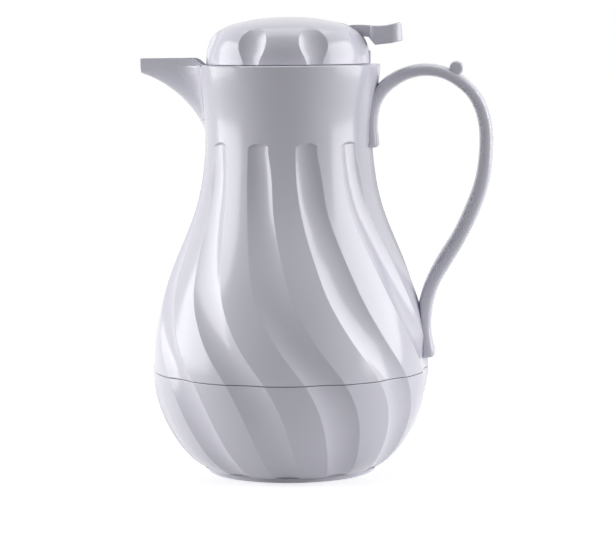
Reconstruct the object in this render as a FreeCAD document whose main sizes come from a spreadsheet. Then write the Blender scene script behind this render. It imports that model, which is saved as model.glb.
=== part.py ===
"""Insulated coffee server with a swirl-fluted double wall, a screw-in lid and a lever-worked pour valve.

Millimetres. +Z up, the origin at the centre of the foot's resting plane. The spout points along -X and
the handle along +X. Driving sizes are in the spreadsheet "Sizes". Pieces turned or cut from flat outlines
are PartDesign bodies bound to it; lofted and fluted pieces are Part features worked out from it.
"""
import FreeCAD, Part
import math
import os

import Sketcher
from FreeCAD import Placement, Rotation, Vector

DRIVING_SIZES = [
    # alias, value, meaning
    ("foot_radius", 49.0, "outer radius of the resting foot"),
    ("foot_inner_radius", 44.0, "inner radius of the resting foot"),
    ("foot_height", 1.7, "height of the straight side of the foot"),
    ("belly_radius", 80.0, "largest radius of the body, on the lands between the flutes"),
    ("belly_height", 61.0, "height of the largest radius"),
    ("neck_radius", 48.4, "smallest radius of the neck"),
    ("neck_height", 188.5, "height of the smallest neck radius"),
    ("rim_radius", 53.3, "radius of the rim"),
    ("rim_height", 235.0, "height of the rim"),
    ("rim_round", 1.0, "rounding of the rim's outer edge"),
    ("rim_left_out", 24.0, "half the angle at the spout where the rim isn't rounded, degrees"),
    ("seam_height", 59.4, "height of the joint between the two outer shells"),
    ("seam_gap", 0.4, "open width of that joint on the outside"),
    ("shell_wall", 4.0, "outer shell wall on the lands"),
    ("lap_wall", 1.6, "wall of the lap rings behind the joint"),
    ("lap_length", 9.0, "length of the lap on each side of the joint"),
    ("lap_stop", 2.5, "height of the ring on the upper shell that the lap stops against"),
    ("shell_floor_low", 4.0, "underside of the lower shell's floor"),
    ("shell_floor_high", 7.5, "top of the lower shell's floor"),
    ("flute_count", 11, "number of flutes"),
    ("flute_start", -8.2, "angle of the first flute's top from the handle, degrees"),
    ("flute_half_angle", 8.25, "half the angle that a flute takes, degrees"),
    ("flute_depth", 2.3, "depth of a flute at the belly"),
    ("flute_thinning", 0.35, "how much shallower a flute is at its top than at the belly"),
    ("flute_least", 0.75, "least depth of a flute, where it fades out below the foot"),
    ("flute_fade", 30.0, "height over which it fades"),
    ("flute_fade_low", -6.0, "height where the fading ends"),
    ("flute_top", 192.0, "height of the arched tops of the flutes"),
    ("flute_arch_radius", 12.5, "radius of the arch at the top of a flute"),
    ("liner_gap", 8.0, "outer surface to the outside of the liner"),
    ("liner_wall", 2.0, "liner wall"),
    ("liner_floor", 12.0, "underside of the liner"),
    ("liner_neck_radius", 40.0, "inner radius of the liner's neck"),
    ("liner_top", 200.0, "top edge of the liner"),
    ("liner_shoulder", 176.0, "height where the liner's belly meets its straight neck"),
    ("liner_neck_low", 150.0, "height inside the belly from which the straight neck is drawn"),
    ("liner_seal_wall", 1.6, "wall of the seal round the liner's neck"),
    ("liner_seal_height", 2.4, "height of that seal"),
    ("collar_bottom", 196.0, "underside of the neck collar"),
    ("collar_bore_radius", 41.0, "inner radius of the collar beside the lid's thread"),
    ("collar_thread_low", 226.0, "lower end of that bore"),
    ("cap_radius", 38.0, "radius of the base cap"),
    ("cap_low", 1.5, "underside of the base cap"),
    ("cap_spigot_radius", 32.0, "radius of the spigot that fills the floor's hole"),
    ("spout_top", 239.0, "height of the spout's upper edge"),
    ("handle_width", 24.0, "width of the handle strap at the thumb roll"),
    ("handle_round", 3.0, "rounding of the strap's edges"),
    ("knob_radius", 4.05, "radius of the thumb roll on the handle"),
    ("handle_screw_radius", 1.75, "shank radius of the handle screws"),
    ("handle_screw_head", 3.6, "head radius of the handle screws"),
    ("handle_screw_head_height", 2.0, "height of the handle screws' heads"),
    ("dome_radius", 47.0, "radius of the lid's dome at its lower edge"),
    ("dome_low", 235.3, "lower edge of the dome"),
    ("flange_height", 2.7, "thickness of the stopper's top flange, which the dome snaps over"),
    ("dome_top", 262.2, "top of the dome"),
    ("dome_wall", 2.5, "wall of the dome"),
    ("bead_height", 1.5, "height of the dome's snap bead over the stopper's flange"),
    ("bead_reach", 1.4, "how far the bead stands in from the dome's wall"),
    ("rib_width", 6.0, "width of the stop rib below the lever"),
    ("rib_height", 7.3, "height of the stop rib"),
    ("rib_proud", 0.7, "how far the rib stands out of the dome"),
    ("slot_clearance", 0.8, "clearance on each side of the lever in the dome's slot"),
    ("slot_reach", 29.5, "distance of the slot's inner end from the axis"),
    ("slot_low", 245.6, "lower edge of the slot"),
    ("scallop_count", 8, "number of finger scallops"),
    ("scallop_radius", 16.0, "radius of a scallop's cross-section"),
    ("stopper_radius", 39.3, "radius of the stopper's sealing flange and thread"),
    ("stopper_wall_radius", 34.5, "outer radius of the stopper's pouring chamber"),
    ("chamber_radius", 32.0, "inner radius of the pouring chamber"),
    ("chamber_floor", 195.0, "underside of the stopper's floor"),
    ("orifice_radius", 14.0, "radius of the pouring hole in the floor"),
    ("port_low", 204.0, "lower edge of the pouring ports"),
    ("port_height", 17.0, "height of the pouring ports"),
    ("port_half_width", 15.0, "half the width of the pouring ports"),
    ("column_radius", 3.6, "radius of the stopper's screw columns"),
    ("column_ring", 28.6, "distance of the screw columns from the axis"),
    ("plate_low", 224.0, "underside of the stopper plate"),
    ("plate_high", 227.0, "top of the stopper plate"),
    ("screw_radius", 1.3, "shank radius of the lid screws"),
    ("screw_head_radius", 3.0, "head radius of the lid screws"),
    ("screw_head_height", 2.0, "height of the lid screws' heads"),
    ("screw_bite", 13.5, "how deep the lid screws go into the columns"),
    ("pivot_reach", 27.0, "distance of the lever's pivot from the axis"),
    ("pivot_height", 250.0, "height of the lever's pivot"),
    ("pin_radius", 1.5, "radius of the lever pin"),
    ("pivot_clearance", 0.1, "clearance of the lever on its pin and of the stem in its guide"),
    ("arm_width", 12.0, "width of the lever's arm"),
    ("paddle_width", 22.0, "width of the lever's thumb paddle"),
    ("lever_round", 0.8, "rounding of the paddle's edges"),
    ("ear_gap", 7.0, "distance of the pivot ears from the middle plane"),
    ("ear_thickness", 2.5, "thickness of a pivot ear"),
    ("stem_radius", 2.5, "radius of the valve stem"),
    ("stem_top", 253.5, "top of the valve stem"),
    ("seal_low", 199.3, "underside of the valve seal"),
    ("disc_low", 200.6, "underside of the valve disc"),
    ("disc_high", 203.0, "top of the valve disc"),
    ("disc_radius", 17.5, "radius of the valve disc"),
    ("spring_radius", 7.5, "mean radius of the valve spring"),
    ("spring_wire", 0.6, "radius of the spring wire"),
    ("spring_turns", 5, "turns of the valve spring"),
]

# Places along the body's outline, each as a share of the height and of the change in radius
# between two of the named sizes.
FOOT_TO_BELLY = [(0.147, 0.374), (0.383, 0.698), (0.705, 0.937)]
BELLY_TO_NECK = [(0.181, 0.076), (0.386, 0.286), (0.591, 0.627), (0.727, 0.832), (0.864, 0.949)]
NECK_TO_RIM = [(0.374, 0.14), (0.748, 0.714)]

# The swirl: how far a flute has turned about the axis, in degrees, at each height.
SWIRL = [(198, 0.0), (176, 0.2), (156, 2.1), (138, 5.4), (120, 9.3), (105, 13.0), (90, 18.6),
         (75, 25.7), (60, 33.8), (47, 38.9), (34, 42.4), (20, 45.4), (8, 48.7), (3, 50.2)]

# The spout from tip to neck: distance from the axis, height of the keel, half-width of the upper edge.
SPOUT_KEEL = [(84.8, 230.6, 5.5), (77.0, 227.4, 7.5), (69.0, 222.6, 9.5), (61.0, 215.9, 11.5),
              (54.5, 208.4, 13.4), (50.0, 201.0, 15.0), (46.0, 189.0, 17.0)]
# The channel inside it, from beyond the tip to inside the neck.
SPOUT_CHANNEL = [(86.5, 233.4, 3.4), (77.0, 230.2, 5.3), (69.0, 225.2, 7.2), (61.0, 218.6, 9.2),
                 (54.5, 211.4, 10.8), (47.0, 205.6, 11.6), (37.0, 203.5, 11.6)]
# The cross-section of the spout: share of the half-width at each share of the depth.
SPOUT_SECTION = [(1.0, 0.0), (0.97, 0.3), (0.8, 0.62), (0.45, 0.88), (0.0, 1.0)]

# Cross-sections of the handle strap from the neck to its lower end: the place of the inner edge,
# the place of the outer edge, and the width.
HANDLE_STRAP = [
    ((51.0, 205.0), (45.5, 218.0), 25.0), ((53.6, 211.7), (50.6, 222.6), 24.5),
    ((56.6, 216.6), (54.6, 226.0), 24.0), ((60.8, 220.7), (58.0, 229.1), 23.5),
    ((68.3, 225.5), (66.0, 232.9), 23.0), ((77.5, 227.7), (77.5, 235.0), 23.0),
    ((87.4, 226.6), (88.6, 233.7), 23.0), ((96.4, 221.8), (100.6, 228.0), 23.0),
    ((104.2, 213.8), (111.2, 217.2), 23.0), ((108.7, 202.0), (116.6, 203.4), 23.0),
    ((109.6, 188.0), (117.9, 188.0), 23.0), ((107.4, 170.0), (115.8, 168.0), 23.0),
    ((102.0, 154.4), (110.0, 150.2), 23.0), ((94.5, 138.4), (102.1, 133.9), 23.0),
    ((86.7, 126.0), (94.1, 120.5), 23.5), ((80.5, 114.8), (87.7, 109.8), 24.0),
    ((76.6, 105.0), (84.6, 102.0), 24.5), ((73.0, 96.0), (82.9, 94.0), 25.0),
    ((71.0, 84.0), (82.1, 84.0), 25.0), ((71.0, 75.0), (83.1, 75.6), 25.0),
    ((71.0, 69.0), (84.5, 70.2), 25.0), ((71.0, 66.1), (83.6, 66.6), 24.0)]
# The pad that lies on the neck below the strap's root.
HANDLE_PAD = [((44.0, 187.4), (51.3, 187.4), 24.0), ((44.0, 188.8), (52.4, 188.8), 25.0),
              ((44.0, 191.5), (51.6, 191.5), 25.0), ((44.0, 196.0), (51.0, 196.0), 25.0),
              ((44.0, 202.0), (51.1, 202.0), 25.0), ((44.0, 208.0), (51.9, 208.0), 25.0)]
KNOB_CENTRE = (96.7, 232.3)
HANDLE_SCREWS = [(192.0, 50.6), (75.0, 81.4)]   # height of each screw, and how far out its tip reaches

# The dome's outline from its top to its lower edge: radius and height.
DOME_SHOULDER = [(15.0, 261.4), (29.0, 258.9), (38.0, 255.7), (43.7, 250.5), (46.2, 245.0)]
# A finger scallop: its half-width at each height.
SCALLOP = [(255.8, 2.6), (254.2, 6.0), (251.5, 8.9), (248.0, 10.2), (244.5, 9.7), (241.0, 7.9), (238.0, 6.3),
           (234.5, 5.0)]

# The lever seen from the side.
LEVER_TOP = [(36.9, 257.2), (48.2, 256.9), (55.7, 256.9), (61.4, 258.0), (64.3, 258.4), (65.4, 257.9)]
LEVER_UNDER = [(66.0, 248.2), (60.2, 246.8), (50.5, 245.8), (46.5, 250.4), (42.4, 250.7)]
LEVER_INNER = [(34.0, 249.8), (30.5, 246.0), (23.5, 246.0), (14.0, 247.4), (-5.0, 247.4), (-5.0, 249.8),
               (3.0, 250.9), (18.0, 252.4), (27.0, 255.0)]
LEVER_PADDLE = (47.4, 66.2)   # from the paddle's root to its tip

COLUMN_ANGLES = (60, 180, 300)

doc = FreeCAD.newDocument("coffee_server")
sheet = doc.addObject("Spreadsheet::Sheet", "Sizes")
for row, (alias, value, meaning) in enumerate(DRIVING_SIZES, start=1):
    sheet.set(f"A{row}", meaning)
    sheet.set(f"B{row}", str(value))
    sheet.setAlias(f"B{row}", alias)
doc.recompute()

SIZE = {alias: float(sheet.get(alias)) for alias, _, _ in DRIVING_SIZES}
NODES = []   # the sub-parts, in the order they are made


# ---------------------------------------------------------------- building blocks

def add_shape(label, shape):
    """Add a finished shape to the document as a sub-part of its own."""
    feature = doc.addObject("Part::Feature", label)
    feature.Label = label
    feature.Shape = shape
    feature.Placement = Placement()
    NODES.append(feature)
    return feature


def origin_plane(body, role):
    """Find one of a body's own origin planes by its role."""
    return next(item for item in body.Origin.OriginFeatures if item.Role == role)


def origin_axis(body, role):
    """Find one of a body's own origin axes by its role, as a reference for a revolution or a pattern."""
    return (next(item for item in body.Origin.OriginFeatures if item.Role == role), [""])


def add_body(label):
    """Start a PartDesign body that is a sub-part of its own."""
    body = doc.addObject("PartDesign::Body", label)
    body.Label = label
    NODES.append(body)
    return body


def draw_outline(sketch, points):
    """Draw a closed outline whose corners are held by expressions on the sheet.

    Each point is a pair of expressions; the text "0" puts the corner on an axis.
    """
    values = [tuple(evaluate(text) for text in point) for point in points]
    count = len(points)
    for index in range(count):
        start, end = values[index], values[(index + 1) % count]
        line = Part.LineSegment(Vector(start[0], start[1], 0), Vector(end[0], end[1], 0))
        sketch.addGeometry(line, False)
    for index in range(count):
        sketch.addConstraint(Sketcher.Constraint("Coincident", index, 2, (index + 1) % count, 1))
    for index, texts in enumerate(points):
        for kind, axis, text, value in (("DistanceX", -2, texts[0], values[index][0]),
                                        ("DistanceY", -1, texts[1], values[index][1])):
            if text == "0":
                sketch.addConstraint(Sketcher.Constraint("PointOnObject", index, 1, axis))
                continue
            number = sketch.addConstraint(Sketcher.Constraint(kind, -1, 1, index, 1, value))
            sketch.setExpression(f"Constraints[{number}]", sheet_expression(text))


def sheet_expression(text):
    """Turn a sum of aliases and numbers into an expression on the sheet."""
    terms = text.split()
    return " ".join(f"Sizes.{term}" if term in SIZE else term for term in terms)


def evaluate(text):
    """Work out a sum, difference or product of aliases and numbers, left to right."""
    terms = text.split()
    total = SIZE[terms[0]] if terms[0] in SIZE else float(terms[0])
    for operator, term in zip(terms[1::2], terms[2::2]):
        number = SIZE[term] if term in SIZE else float(term)
        if operator == "+":
            total += number
        elif operator == "-":
            total -= number
        else:
            raise ValueError(f"{operator} isn't used in outlines")
    return total


def side_sketch(body, name, points, role="XZ_Plane"):
    """Add a sketch with one closed outline to a body, on one of its origin planes."""
    sketch = body.newObject("Sketcher::SketchObject", name)
    sketch.AttachmentSupport = [(origin_plane(body, role), "")]
    sketch.MapMode = "FlatFace"
    draw_outline(sketch, points)
    return sketch


def turned_body(label, points):
    """Make a body by turning an outline of (radius, height) expressions once round the axis."""
    body = add_body(label)
    sketch = side_sketch(body, label + "_outline", points)
    turn = body.newObject("PartDesign::Revolution", label + "_turned")
    turn.Profile = sketch
    turn.ReferenceAxis = (sketch, ["V_Axis"])
    turn.Angle = 360.0
    doc.recompute()
    return body


def ring(inner, outer, low, high):
    """Give the outline of a plain ring as expressions."""
    return [(inner, low), (outer, low), (outer, high), (inner, high)]


def smooth(points, first_tangent=None, last_tangent=None):
    """Lay a smooth curve through points."""
    curve = Part.BSplineCurve()
    if first_tangent is None:
        curve.interpolate(points)
    else:
        curve.interpolate(Points=points, InitialTangent=first_tangent, FinalTangent=last_tangent)
    return curve


def turned_solid(edges):
    """Close a chain of edges in the XZ plane into a face and turn it once round the Z axis."""
    face = Part.Face(Part.Wire(edges))
    return face.revolve(Vector(0, 0, 0), Vector(0, 0, 1), 360)


def line(start, end):
    """Make a straight edge."""
    return Part.LineSegment(start, end).toShape()


def slab(low, high, radius=150.0):
    """Make a wide disc between two heights, to trim other solids with."""
    return Part.makeCylinder(radius, high - low, Vector(0, 0, low))


def about_axis(shape, degrees):
    """Give a copy of a shape turned about the Z axis."""
    copy = shape.copy()
    copy.rotate(Vector(0, 0, 0), Vector(0, 0, 1), degrees)
    return copy


def one_solid(shape):
    """Merge split faces and insist on a single solid."""
    clean = shape.removeSplitter()
    if len(clean.Solids) != 1:
        raise ValueError(f"expected one solid, found {len(clean.Solids)}")
    return clean.Solids[0]


# ---------------------------------------------------------------- the body's outline

def between(start, end, shares):
    """Give the places between two (radius, height) pairs that the shares of height and radius name."""
    places = []
    for height_share, radius_share in shares:
        places.append((start[0] + (end[0] - start[0]) * radius_share,
                       start[1] + (end[1] - start[1]) * height_share))
    return places


FOOT = (SIZE["foot_radius"], SIZE["foot_height"])
BELLY = (SIZE["belly_radius"], SIZE["belly_height"])
NECK = (SIZE["neck_radius"], SIZE["neck_height"])
RIM = (SIZE["rim_radius"], SIZE["rim_height"])
OUTLINE = ([FOOT] + between(FOOT, BELLY, FOOT_TO_BELLY) + [BELLY] + between(BELLY, NECK, BELLY_TO_NECK)
           + [NECK] + between(NECK, RIM, NECK_TO_RIM) + [RIM])
LAND_CURVE = smooth([Vector(radius, 0, height) for radius, height in OUTLINE])


def land_radius(height):
    """Give the radius of the lands at a height."""
    low, high = LAND_CURVE.FirstParameter, LAND_CURVE.LastParameter
    for _ in range(40):
        middle = (low + high) / 2
        if LAND_CURVE.value(middle).z < height:
            low = middle
        else:
            high = middle
    return LAND_CURVE.value(low).x


def inset_curve(distance):
    """Give the body's outline moved inwards, square to itself."""
    points = []
    for radius, height in OUTLINE:
        place = Vector(radius, 0, height)
        parameter = LAND_CURVE.parameter(place)
        tangent = LAND_CURVE.tangent(parameter)[0]
        points.append(place + Vector(-tangent.z, 0, tangent.x) * distance)
    return smooth(points)


def filled(curve, top=None):
    """Turn the space between an outline and the axis, straight up to a top height if one is given."""
    start = curve.value(curve.FirstParameter)
    end = curve.value(curve.LastParameter)
    edges = [line(Vector(0, 0, start.z), start), curve.toShape()]
    if top is not None and top > end.z:
        edges.append(line(end, Vector(end.x, 0, top)))
        end = Vector(end.x, 0, top)
    edges += [line(end, Vector(0, 0, end.z)), line(Vector(0, 0, end.z), Vector(0, 0, start.z))]
    return turned_solid(edges)


# ---------------------------------------------------------------- flutes

def groove_section(angle, height, radius, half_angle, depth, proud):
    """Draw the cross-section of one groove: a scoop below the surface and an arc just outside it."""
    half_width = radius * math.sin(math.radians(half_angle))
    below_chord = depth - radius * (1 - math.cos(math.radians(half_angle)))
    scoop = (half_width ** 2 + below_chord ** 2) / (2 * below_chord)
    centre = radius - depth + scoop
    outside = radius + proud
    spread = math.acos((centre ** 2 + outside ** 2 - scoop ** 2) / (2 * centre * outside))
    turn = math.radians(angle)

    def place(reach, off):
        return Vector(reach * math.cos(turn + off), reach * math.sin(turn + off), height)

    left, right = place(outside, -spread), place(outside, spread)
    inner = Part.Arc(left, place(radius - depth, 0), right).toShape()
    outer = Part.Arc(right, place(outside, 0), left).toShape()
    return Part.Wire([inner, outer])


def flute_depth(height):
    """Give the depth of a flute: shallower on the neck, and fading out at the foot."""
    deep = SIZE["flute_depth"]
    if height > SIZE["belly_height"]:
        share = min(1.0, (height - SIZE["belly_height"]) / (SIZE["flute_top"] - SIZE["belly_height"]))
        return deep - SIZE["flute_thinning"] * share
    fade = min(1.0, (height - SIZE["flute_fade_low"]) / SIZE["flute_fade"])
    return SIZE["flute_least"] + (deep - SIZE["flute_least"]) * fade


def make_flute():
    """Make the cutter of one flute, centred on the +X side at its top."""
    sections = []
    for height, turned in SWIRL:
        radius = land_radius(height)
        sections.append(groove_section(turned, height, radius, SIZE["flute_half_angle"],
                                       flute_depth(height), proud=1.5))
    cutter = Part.makeLoft(sections, True, False)
    # The arch: what lies above a cone that opens outwards is left uncut.
    arch = SIZE["flute_arch_radius"]
    middle = SIZE["flute_top"] - arch
    behind, before = 6.0, 12.0   # how far the cone reaches inside the neck's surface and outside it
    above = Part.makeBox(behind + before + 2, 4 * arch, 2 * arch,
                         Vector(SIZE["neck_radius"] - behind - 2, -2 * arch, middle))
    cone = Part.makeCone(arch - behind, arch + before, behind + before,
                         Vector(SIZE["neck_radius"] - behind, 0, middle), Vector(1, 0, 0))
    return cutter.cut(above.cut(cone))


def make_rim_cutter():
    """Make what the rounding takes off the rim's outer edge, all round except at the spout."""
    radius, height, bend = SIZE["rim_radius"], SIZE["rim_height"], SIZE["rim_round"]
    slope = (radius - land_radius(height - bend)) / bend
    low, high = Vector(radius - slope * bend, 0, height - bend), Vector(radius - bend, 0, height)
    middle = Vector(radius - bend * 0.36, 0, height - bend * 0.29)
    outside = [high, high + Vector(0, 0, 1), Vector(radius + 1, 0, height + 1),
               Vector(radius + 1, 0, height - bend), low]
    edges = [Part.Arc(low, middle, high).toShape()] + [line(*pair) for pair in zip(outside, outside[1:])]
    left_out = SIZE["rim_left_out"]
    cutter = Part.Face(Part.Wire(edges)).revolve(Vector(0, 0, 0), Vector(0, 0, 1), 360 - 2 * left_out)
    return about_axis(cutter, left_out - 180)


def make_fluted_body():
    """Make the body's full outer form with its flutes, solid inside."""
    foot_edge = Vector(SIZE["foot_radius"] - 0.4, 0, 0)
    start = LAND_CURVE.value(LAND_CURVE.FirstParameter)
    end = LAND_CURVE.value(LAND_CURVE.LastParameter)
    body = turned_solid([line(Vector(0, 0, 0), foot_edge), line(foot_edge, start), LAND_CURVE.toShape(),
                         line(end, Vector(0, 0, end.z)), line(Vector(0, 0, end.z), Vector(0, 0, 0))])
    flute = make_flute()
    step = 360 / SIZE["flute_count"]
    for number in range(int(SIZE["flute_count"])):
        body = body.cut(about_axis(flute, SIZE["flute_start"] + number * step))
    return body.cut(make_rim_cutter())


# ---------------------------------------------------------------- spout

def spout_section(reach, keel, half_width, top):
    """Draw one upright cross-section of the spout: a rounded keel closed by a straight upper edge."""
    depth = top - keel
    right = [Vector(-reach, half_width * wide, top - depth * deep) for wide, deep in SPOUT_SECTION]
    left = [Vector(-reach, -half_width * wide, top - depth * deep) for wide, deep in SPOUT_SECTION[-2::-1]]
    curve = smooth(right + left).toShape()
    return Part.Wire([curve, line(left[-1], right[0])])


def make_spout_block():
    """Make the spout's outer form, with its upper edge sweeping down to the rim at the neck."""
    top = SIZE["spout_top"]
    rim = SIZE["rim_height"]
    block = Part.makeLoft([spout_section(*station, top) for station in SPOUT_KEEL], True, False)
    sweep = smooth([Vector(-55.5, -40, top), Vector(-52.5, -40, top - 0.7), Vector(-49.5, -40, rim + 0.9),
                    Vector(-46.0, -40, rim)], Vector(1, 0, 0), Vector(1, 0, 0)).toShape()
    corners = [Vector(-46.0, -40, rim), Vector(-30, -40, rim), Vector(-30, -40, top + 5),
               Vector(-55.5, -40, top + 5), Vector(-55.5, -40, top)]
    edges = [sweep] + [line(start, end) for start, end in zip(corners, corners[1:])]
    return block.cut(Part.Face(Part.Wire(edges)).extrude(Vector(0, 80, 0)))


def make_spout_channel():
    """Make the space inside the spout, open above."""
    open_top = SIZE["spout_top"] + 8
    sections = []
    for reach, floor, half_width in SPOUT_CHANNEL:
        edge = SIZE["spout_top"]
        depth = edge - floor
        side = [Vector(-reach, half_width * wide, edge - depth * deep) for wide, deep in SPOUT_SECTION]
        other = [Vector(-reach, -half_width * wide, edge - depth * deep)
                 for wide, deep in SPOUT_SECTION[-2::-1]]
        up_left, up_right = Vector(-reach, -half_width, open_top), Vector(-reach, half_width, open_top)
        sections.append(Part.Wire([smooth(side + other).toShape(), line(other[-1], up_left),
                                   line(up_left, up_right), line(up_right, side[0])]))
    return Part.makeLoft(sections, True, False)


# ---------------------------------------------------------------- the pot

def lap_ring(low, high):
    """Make the lap ring behind the shells' joint, between two heights."""
    outer = filled(inset_curve(SIZE["shell_wall"])).common(slab(low, high))
    return outer.cut(filled(inset_curve(SIZE["shell_wall"] + SIZE["lap_wall"])))


def make_shells(fluted, channel):
    """Cut the fluted body into the upper shell with the spout, and the lower shell with the foot."""
    seam, half_gap = SIZE["seam_height"], SIZE["seam_gap"] / 2
    lap = SIZE["lap_length"]
    hollow = filled(inset_curve(SIZE["shell_wall"]), SIZE["rim_height"] + 12)
    hollow = hollow.common(slab(SIZE["shell_floor_high"], SIZE["rim_height"] + 12))
    upper = fluted.common(slab(seam + half_gap, SIZE["rim_height"] + 1))
    upper = upper.fuse(make_spout_block()).cut(hollow).cut(channel)
    upper = upper.fuse(lap_ring(seam + lap, seam + lap + SIZE["lap_stop"]))
    lower = fluted.common(slab(-1, seam - half_gap)).cut(hollow)
    lower = lower.fuse(lap_ring(seam - lap, seam + lap))
    recess = Part.makeCylinder(SIZE["foot_inner_radius"], SIZE["shell_floor_low"])
    hole = Part.makeCylinder(SIZE["cap_spigot_radius"], SIZE["shell_floor_high"] + 1)
    lower = lower.cut(recess).cut(hole)
    for height, tip in HANDLE_SCREWS:
        upper = upper.cut(screw_shank(height, tip))
    add_shape("upper_shell", one_solid(upper))
    add_shape("lower_shell", one_solid(lower))
    return hollow


def vessel(gap, neck, floor, top):
    """Make the liner's form at a distance inside the body's outline, with a straight neck."""
    low = SIZE["liner_neck_low"]
    belly = filled(inset_curve(gap)).common(slab(floor, SIZE["liner_shoulder"]))
    return belly.fuse(Part.makeCylinder(neck, top - low, Vector(0, 0, low)))


def screw_seat(height):
    """Give the distance from the axis at which a handle screw's head bears on the shell's inside."""
    reach = SIZE["handle_screw_head"]
    return min(land_radius(height - reach), land_radius(height + reach)) - SIZE["shell_wall"] - 0.2


def screw_shank(height, tip):
    """Make a handle screw's shank, lying along +X from its head to its tip."""
    start = screw_seat(height)
    return Part.makeCylinder(SIZE["handle_screw_radius"], tip - start, Vector(start, 0, height),
                             Vector(1, 0, 0))


def make_handle_screws():
    """Make the two screws that hold the handle, with their heads inside the shell."""
    screws = []
    for height, tip in HANDLE_SCREWS:
        head = Part.makeCylinder(SIZE["handle_screw_head"], SIZE["handle_screw_head_height"],
                                 Vector(screw_seat(height), 0, height), Vector(-1, 0, 0))
        screws.append(one_solid(head.fuse(screw_shank(height, tip))))
    return add_shape("handle_screws", Part.makeCompound(screws))


def make_liner():
    """Make the inner vessel."""
    wall, neck, top = SIZE["liner_wall"], SIZE["liner_neck_radius"], SIZE["liner_top"]
    outside = vessel(SIZE["liner_gap"], neck + wall, SIZE["liner_floor"], top)
    inside = vessel(SIZE["liner_gap"] + wall, neck, SIZE["liner_floor"] + wall, top + 1)
    brim = inside.common(slab(0, SIZE["chamber_floor"]))
    print(f"capacity below the stopper: {brim.Volume / 1e6:.2f} litres")
    add_shape("liner", one_solid(outside.cut(inside)))
    return outside


def make_collar(hollow, liner_outside, channel):
    """Make the ring that fills the neck above the foam and takes the lid's thread."""
    neck, bottom, top = SIZE["liner_neck_radius"], SIZE["collar_bottom"], SIZE["rim_height"]
    thread = SIZE["collar_thread_low"]
    collar = hollow.common(slab(bottom, top)).cut(liner_outside)
    collar = collar.cut(Part.makeCylinder(neck, top - bottom + 2, Vector(0, 0, bottom - 1)))
    bore = Part.makeCylinder(SIZE["collar_bore_radius"], top - thread + 1, Vector(0, 0, thread))
    seat = Part.makeCylinder(neck + SIZE["liner_wall"] + SIZE["liner_seal_wall"], SIZE["liner_seal_height"],
                             Vector(0, 0, bottom))
    collar = collar.cut(bore).cut(seat).cut(channel)
    return add_shape("neck_collar", one_solid(collar))


def make_foam(hollow, liner_outside, blockers):
    """Make the foam that fills the double wall."""
    foam = hollow.common(slab(SIZE["shell_floor_high"], SIZE["collar_bottom"])).cut(liner_outside)
    for blocker in blockers:
        foam = foam.cut(blocker)
    return add_shape("foam_insulation", one_solid(foam))


def strap_section(inner, outer, width):
    """Draw one cross-section of the handle: a rectangle with rounded corners between two edges."""
    start, end = Vector(inner[0], 0, inner[1]), Vector(outer[0], 0, outer[1])
    along = (end - start).normalize()
    across = Vector(0, 1, 0)
    middle = (Vector(inner[0], 0, inner[1]) + Vector(outer[0], 0, outer[1])) / 2
    half_long, half_wide = (Vector(outer[0], 0, outer[1]) - middle).Length, width / 2
    radius = SIZE["handle_round"]
    bend = radius * (1 - math.sqrt(0.5))
    edges, previous, first = [], None, None
    for side, level in ((1, 1), (-1, 1), (-1, -1), (1, -1)):
        corner = middle + across * (side * half_wide) + along * (level * half_long)
        on_flat = corner - across * (side * radius)
        on_side = corner - along * (level * radius)
        halfway = corner - across * (side * bend) - along * (level * bend)
        begin, finish = (on_side, on_flat) if side == level else (on_flat, on_side)
        if previous is None:
            first = begin
        else:
            edges.append(line(previous, begin))
        edges.append(Part.Arc(begin, halfway, finish).toShape())
        previous = finish
    edges.append(line(previous, first))
    return Part.Wire(edges)


def make_handle(fluted):
    """Make the handle: a strap with flicked ends, the pad on the neck, and the thumb roll."""
    strap = Part.makeLoft([strap_section(*station) for station in HANDLE_STRAP], True, False)
    pad = Part.makeLoft([strap_section(*station) for station in HANDLE_PAD], True, False)
    roll_width = SIZE["handle_width"] - 2
    roll = Part.makeCylinder(SIZE["knob_radius"], roll_width,
                             Vector(KNOB_CENTRE[0], -roll_width / 2, KNOB_CENTRE[1]), Vector(0, 1, 0))
    roll = roll.makeFillet(1.6, [edge for edge in roll.Edges if len(edge.Vertexes) == 1])
    handle = one_solid(strap.fuse(pad).fuse(roll)).cut(fluted)
    for height, tip in HANDLE_SCREWS:
        handle = handle.cut(screw_shank(height, tip))
    outside = [solid for solid in handle.Solids if solid.BoundBox.XMax > SIZE["belly_radius"]]
    return add_shape("handle", outside[0])


def make_base_cap():
    """Make the cap that closes the floor's hole from below."""
    return turned_body("base_cap", [
        ("0", "cap_low"), ("cap_radius", "cap_low"), ("cap_radius", "shell_floor_low"),
        ("cap_spigot_radius", "shell_floor_low"), ("cap_spigot_radius", "shell_floor_high"),
        ("0", "shell_floor_high")])


def make_liner_seal():
    """Make the seal between the liner's neck and the collar."""
    return turned_body("liner_seal", ring("liner_neck_radius + liner_wall",
                                          "liner_neck_radius + liner_wall + liner_seal_wall",
                                          "collar_bottom", "collar_bottom + liner_seal_height"))


# ---------------------------------------------------------------- the lid

def scallop_cutter(grow):
    """Make the space of one finger scallop on the +X side, wider by a wall if grow is given."""
    dome = dome_outline(0.0)
    radius = SIZE["scallop_radius"]
    sections = []
    for height, half_width in SCALLOP:
        surface = radius_on(dome, height)
        depth = half_width ** 2 / (2 * radius)
        centre = Vector(surface - depth + radius, 0, height)
        sections.append(Part.Wire([Part.Circle(centre, Vector(0, 0, 1), radius + grow).toShape()]))
    return Part.makeLoft(sections, True, False)


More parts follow.
